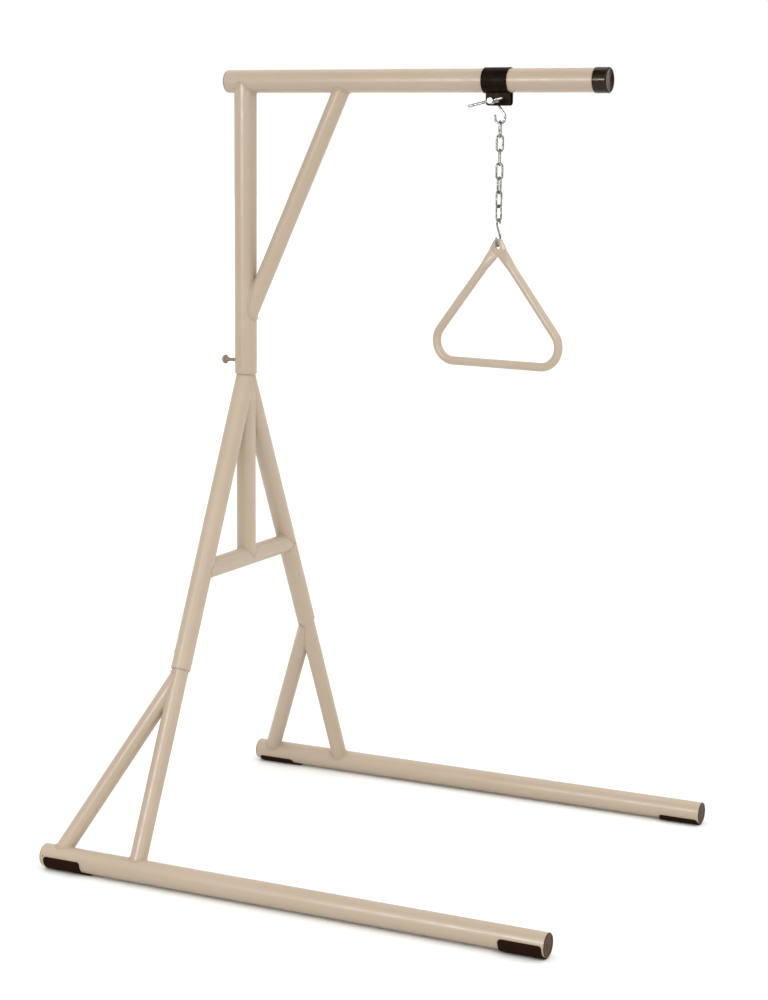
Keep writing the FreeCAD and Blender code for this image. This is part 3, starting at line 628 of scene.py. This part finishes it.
knob_profile = [(0.0, 4.1), (0.0, 4.5)] + arc_profile((0.0, 4.5), (0.4, 4.9), (0.4, 4.5), 3)
knob_profile += [(2.5, 5.0), (5.0, 5.4), (6.4, 6.1), (7.2, 7.6)]
knob_profile += arc_profile((7.3, 9.1), (8.7, 10.5), (8.7, 9.1), 6)
knob_profile += arc_profile((9.8, 10.5), (17.0, 0.1), (9.8, 0.0), 22)
verts, faces = lathe(knob_profile, Vector((KNOB_X, 0, LOCK_Z)), -X, 72)
piece("lock_knob_look", verts, faces, "lock_knob_body", KNOB_PAINT, ("lock_knob",))

shank = [(0.0, 0.2), (0.0, 3.2)] + [(v, 3.98) for v in steps(0.6, 57.0, 0.16)] + [(57.1, 3.0)]
hub = [(57.0, 3.5), (57.0, 6.2)] + arc_profile((57.0, 6.2), (57.8, 7.0), (57.8, 6.2), 4)
hub += [(v, 7.0) for v in steps(58.5, 71.4, 0.5)]
hub += arc_profile((72.2, 7.0), (73.0, 6.2), (72.2, 6.2), 4)
hub += [(73.0, 4.5), (72.7, 4.2), (72.6, 0.1)]
shank_start = Vector((SCREW_X, SHANK_START_Y, SCREW_Z))
verts, faces = join(lathe(shank, shank_start, -Y, 40, thread_wave(1.25, 0.45)),
                    lathe(hub, shank_start, -Y, 56))
piece("clamp_screw_look", verts, faces, "clamp_screw_body", ZINC, ("clamp_screw",))

TOMMY_TURN = math.radians(13.0)
tommy_run = Vector((math.cos(TOMMY_TURN), 0, math.sin(TOMMY_TURN)))
tommy_middle = Vector((SCREW_X, TOMMY_Y, SCREW_Z)) - tommy_run * TOMMY_SHIFT
tommy = [(-41.0, 0.1)] + arc_profile((-41.0, 0.1), (-38.4, 2.8), (-38.3, 0.1), 6)
tommy += [(v, 2.78) for v in steps(-37.5, 37.5, 2.5)]
tommy += arc_profile((38.4, 2.8), (41.0, 0.1), (38.3, 0.1), 6)
verts, faces = lathe(tommy, tommy_middle, tommy_run, 32)
piece("tommy_bar_look", verts, faces, "tommy_bar_body", ZINC, ("tommy_bar",))


def hex_body(flats, low, high, bore, chamfer=0.9):
    """Profile rings of a chamfered hexagon along an axis, as a wave on a lathe."""
    def wave(along, radius, turn):
        if radius <= bore + 0.01:
            return radius
        sector = (turn + math.pi / 6) % (math.pi / 3) - math.pi / 6
        hexagon = flats / 2 / math.cos(sector)
        return min(hexagon, radius)
    corner = flats / 2 / math.cos(math.pi / 6)
    inside = flats / 2 - 0.2
    profile = [(low, bore), (low, inside), (low + chamfer * 0.5, corner - chamfer * 0.4)]
    profile += [(low + chamfer, corner), (high - chamfer, corner)]
    profile += [(high - chamfer * 0.5, corner - chamfer * 0.4), (high, inside), (high, bore)]
    return profile, wave


profile, wave = hex_body(15.0, 0.0, 8.0, 4.06)
verts, faces = lathe(profile, Vector((SCREW_X, NUT_START_Y, SCREW_Z)), Y, 96, wave)
piece("clamp_nut_look", verts, faces, "clamp", ZINC, ("clamp_nut",), 25)
for side_name, side in (("left", -1), ("right", 1)):
    seat = leg_point(side, BOLT_Z) - X * (LEG_R + 0.05)
    button = [(-10.0, 3.9), (0.0, 3.9), (0.0, 6.0)]
    button += arc_profile((0.3, 6.0), (1.8, 2.2), (0.3, 2.2), 8)
    button += [(1.8, 1.9), (0.9, 1.7), (0.9, 0.1)]
    verts, faces = lathe(button, seat, -X, 64)
    piece(f"{side_name}_leg_bolt_look", verts, faces, "base_frame", ZINC,
          (f"{side_name}_leg_bolt",), 30)

# ---- hooks, chain and handle ------------------------------------------------------------------


def upright(angle, place):
    """Maps a local (along, up) pair of a vertical plane to the row frame."""
    turn = math.radians(angle)
    along = Vector((math.cos(turn), math.sin(turn), 0))
    normal = Vector((-math.sin(turn), math.cos(turn), 0))
    return (lambda p: place + along * p[0] + Z * p[1]), normal


def s_hook(node, body, eye, bow, length, tip, waist, ahead, angle, place):
    """A flat S of round wire with softly cut ends."""
    bow_centre = -length + bow
    points = [(ahead - bow - 1.0, bow_centre + tip), (ahead - bow, -length), (ahead + bow, -length),
              (ahead + bow, bow_centre + tip), (-eye, -eye - waist), (-eye, 0), (eye, 0),
              (eye, -eye - 4.0)]
    radii = [bow * 0.98, bow * 0.98, bow * 0.55, eye * 0.7, eye * 0.98, eye * 0.98]
    put, normal = upright(angle, place)
    centres = [put(p) for p in rounded(points, radii, 0.6)]
    travelled = [0.0]
    for a, b in zip(centres, centres[1:]):
        travelled.append(travelled[-1] + (b - a).length)
    sizes = []
    for run in travelled:
        gap = min(run, travelled[-1] - run) / 0.8
        swell = math.sqrt(max(0.0, 1 - (1 - min(1.0, gap)) ** 2))
        sizes.append(HOOK_WIRE * (0.72 + 0.28 * swell))
    verts, faces = sweep(centres, sizes, normal, seg=32)
    piece(node + "_look", verts, faces, body, ZINC, (node,), 50)


def chain_link(number, top):
    """An oval link with a welded bump on one side."""
    wire, bow = LINK_WIRE, LINK_BOW
    straight = LINK_INNER + 2 * wire - 2 * bow
    put, normal = upright(number * TWIST, Vector((LOAD_X, 0, top)))
    outline = []
    for i in range(25):
        turn = math.pi * i / 24
        outline.append((bow * math.cos(turn), -bow + bow * math.sin(turn)))
    for i in range(1, 16):
        outline.append((-bow, -bow - straight * i / 16))
    for i in range(25):
        turn = math.pi + math.pi * i / 24
        outline.append((bow * math.cos(turn), -bow - straight + bow * math.sin(turn)))
    for i in range(1, 24):
        outline.append((bow, -bow - straight * (1 - i / 24)))
    radii = []
    middle = -bow - straight / 2 + rng.uniform(-1.0, 1.0)
    for along, up in outline:
        bump = math.exp(-((up - middle) / 1.1) ** 2) if along > bow * 0.99 else 0.0
        radii.append(wire * (1 + 0.13 * bump))
    verts, faces = sweep([put(p) for p in outline], radii, normal, closed=True, seg=24)
    piece(f"chain_link_{number}_look", verts, faces, f"link_{number}_body", ZINC,
          (f"chain_link_{number}",), 60)


s_hook("top_hook", "top_hook_body", TOP_EYE, 11.1, TOP_LENGTH, 7.3, 3.0, LOAD_X - SCREW_X, 0.0,
       Vector((SCREW_X, 0, SCREW_Z + TOP_EYE)))
support = SCREW_Z + TOP_EYE - TOP_LENGTH
above = HOOK_WIRE
for number in range(1, LINKS + 1):
    link_top = support + above + LINK_WIRE + REST_GAP
    chain_link(number, link_top)
    support = link_top - LINK_INNER - 2 * LINK_WIRE
    above = LINK_WIRE
low_top = support + LINK_WIRE + HOOK_WIRE + REST_GAP
s_hook("low_hook", "low_hook_body", 6.5, 8.0, LOW_LENGTH, 11.0, 6.0, 0.0, (LINKS + 1) * TWIST,
       Vector((LOAD_X, 0, low_top)))
pivot_z = low_top - LOW_LENGTH


HANDLE_LEAN = math.radians(38.7)
HANDLE_PUT, HANDLE_NORMAL = upright(
    (LINKS + 1) * TWIST - 90.0, Vector((LOAD_X, 0, pivot_z + HOLE_TOP_LIFT - HOLE_R)))
CREASE = 18.0           # how far down each side the flattened end stops
FLAT_HALF = 13.3
FLAT_THICK = 2.6


def triangle_handle():
    """Round tube, bent at the lower corners, that swells from a sharp crease below the flat top."""
    height, bend, radius = 253.6, 43.5, 9.5
    corner = height * math.tan(HANDLE_LEAN)
    start = (-math.sin(HANDLE_LEAN) * 11.0, -math.cos(HANDLE_LEAN) * 11.0)
    end = (-start[0], start[1])
    centres = []
    sizes = []
    for p in rounded([start, (-corner, -height), (corner, -height), end], [bend, bend], 1.2):
        below = max(0.0, math.hypot(p[0], p[1]) - CREASE)
        swell = min(1.0, below / 26.0) ** 0.62
        narrow = min(1.0, below / 46.0)
        narrow = narrow * narrow * (3 - 2 * narrow)
        centres.append(HANDLE_PUT(p))
        sizes.append((FLAT_HALF + (radius - FLAT_HALF) * narrow,
                      FLAT_THICK - 0.3 + (radius - FLAT_THICK + 0.3) * swell))
    return sweep(centres, sizes, HANDLE_NORMAL, seg=48)


verts, faces = triangle_handle()
piece("triangle_handle_tube", verts, faces, "handle", HANDLE_PAINT, (), 60)


def handle_eye():
    """The lapped, flattened top of the handle with its hole, as a softly edged plate."""
    top, hole, thick = 17.5, HOLE_R, FLAT_THICK
    across = math.cos(HANDLE_LEAN) * FLAT_HALF
    down = -math.cos(HANDLE_LEAN) * CREASE
    outer = (across + math.sin(HANDLE_LEAN) * CREASE, down + math.sin(HANDLE_LEAN) * FLAT_HALF)
    crotch = (0.0, -FLAT_HALF / math.sin(HANDLE_LEAN) - 0.6)
    loop = [crotch, outer, (top * 0.62, top * 0.80), (top * 0.30, top), (-top * 0.30, top),
            (-top * 0.62, top * 0.80), (-outer[0], outer[1])]
    dense = []
    for i, corner in enumerate(loop):
        a, b = Vector(corner), Vector(loop[(i + 1) % len(loop)])
        for k in range(16):
            dense.append(a.lerp(b, k / 16))
    count = len(dense)
    for _ in range(3):
        dense = [(dense[i - 1] + dense[i] * 2 + dense[(i + 1) % count]) / 4 for i in range(count)]
    verts = []
    layers = ((hole, -thick + 0.5, 0), (hole + 0.5, -thick, 0), (1.2, -thick, 1),
              (0.35, -thick + 0.4, 1), (0.0, -thick + 1.3, 1), (0.45, -0.15, 1), (0.45, 0.15, 1),
              (0.0, thick - 1.3, 1), (0.35, thick - 0.4, 1), (1.2, thick, 1),
              (hole + 0.5, thick, 0), (hole, thick - 0.5, 0))
    for amount, offset, outside in layers:
        for p in dense:
            direction = p.normalized()
            q = p - direction * amount if outside else direction * amount
            verts.append(HANDLE_PUT(q) + HANDLE_NORMAL * offset)
    return verts, rings_to_faces(len(layers), count, closed=True)


verts, faces = handle_eye()
piece("triangle_handle_eye", verts, faces, "handle", HANDLE_PAINT,
      ("triangle_handle",), 45)

# ---- studio -----------------------------------------------------------------------------------

scene = bpy.context.scene
floor_material = Nodes("studio_floor", (0.86, 0.865, 0.85), 0.7)
floor_paint = floor_material.finish(
    floor_material.tint((0.86, 0.865, 0.85), floor_material.ramp(floor_material.noise(0.8), 0.3, 0.7),
                        (0.84, 0.845, 0.83)))
floor_mesh = bpy.data.meshes.new("studio_floor")
REACH = 60.0
floor_mesh.from_pydata([(-REACH, -REACH, 0), (REACH, -REACH, 0), (REACH, REACH, 0),
                        (-REACH, REACH, 0)], [], [(0, 1, 2, 3)])
floor_mesh.materials.append(floor_paint)
floor = bpy.data.objects.new("studio_floor", floor_mesh)
scene.collection.objects.link(floor)

world = bpy.data.worlds.new("studio_world")
world.use_nodes = True
world.node_tree.nodes["Background"].inputs["Color"].default_value = (1.0, 0.995, 0.985, 1.0)
world.node_tree.nodes["Background"].inputs["Strength"].default_value = 1.02
scene.world = world


def area_light(name, place, target, power, width, height):
    """A soft box aimed at a point, seen only as a highlight."""
    data = bpy.data.lights.new(name, "AREA")
    data.shape = "RECTANGLE"
    data.size = width
    data.size_y = height
    data.energy = power
    light = bpy.data.objects.new(name, data)
    light.location = place
    light.rotation_euler = (Vector(target) - Vector(place)).to_track_quat("-Z", "Y").to_euler()
    light.visible_diffuse = False
    scene.collection.objects.link(light)


area_light("strip", (-0.97, -3.7, 2.0), (0.3, 0, 1.6), 65.0, 1.15, 0.75)


def soft_sun(name, tilt, turn, strength, spread):
    """An even light from one side of the sky, with very soft shadows."""
    data = bpy.data.lights.new(name, "SUN")
    data.energy = strength
    data.angle = spread
    light = bpy.data.objects.new(name, data)
    light.rotation_euler = (math.radians(tilt), 0, math.radians(turn))
    scene.collection.objects.link(light)


soft_sun("sky", 12.0, 20.0, 1.1, 1.6)
soft_sun("front", 62.0, 48.0, 0.70, 1.2)


def flag(name, place, target, width, height):
    """A black card that only reflections see, so that bright metal has dark edges."""
    half_w, half_h = width / 2, height / 2
    mesh = bpy.data.meshes.new(name)
    mesh.from_pydata([(-half_w, -half_h, 0), (half_w, -half_h, 0), (half_w, half_h, 0),
                      (-half_w, half_h, 0)], [], [(0, 1, 2, 3)])
    mesh.materials.append(Nodes(name, (0.03, 0.028, 0.025), 0.9).material)
    card = bpy.data.objects.new(name, mesh)
    card.location = place
    card.rotation_euler = (Vector(target) - Vector(place)).to_track_quat("-Z", "Y").to_euler()
    for kind in ("camera", "diffuse", "shadow", "transmission"):
        setattr(card, "visible_" + kind, False)
    scene.collection.objects.link(card)


flag("flag_left", (-2.6, -3.6, 1.5), (0.25, 0, 1.5), 1.6, 3.4)
flag("flag_right", (4.2, -1.2, 1.5), (0.25, 0, 1.5), 1.5, 3.4)
flag("flag_camera", (1.0, -5.2, 1.4), (0.25, 0, 1.5), 1.2, 3.0)
flag("flag_far", (2.4, 3.6, 1.9), (0.55, 0, 1.74), 1.0, 2.2)
flag("flag_top", (0.0, -1.6, 5.0), (0.0, -1.5, 0.0), 6.0, 4.0)

YAW, PITCH, ROLL = 0.4564, -0.1645, 0.0085
CAMERA_PLACE = Vector((2.1383, -4.3744, 1.6180))
right = Vector((math.cos(YAW), math.sin(YAW), 0))
level = Vector((-math.sin(YAW), math.cos(YAW), 0))
forward = level * math.cos(PITCH) + Z * math.sin(PITCH)
upward = Z * math.cos(PITCH) - level * math.sin(PITCH)
tilted_right = right * math.cos(ROLL) + upward * math.sin(ROLL)
tilted_up = upward * math.cos(ROLL) - right * math.sin(ROLL)
camera_data = bpy.data.cameras.new("photo_camera")
camera_data.lens = 78.74
camera_data.sensor_width = 36.0
camera_data.clip_end = 60.0
camera = bpy.data.objects.new("photo_camera", camera_data)
camera.matrix_world = Matrix.Translation(CAMERA_PLACE) @ Matrix(
    (tilted_right, tilted_up, -forward)).transposed().to_4x4()
scene.collection.objects.link(camera)
scene.camera = camera
scene.view_settings.view_transform = "Standard"
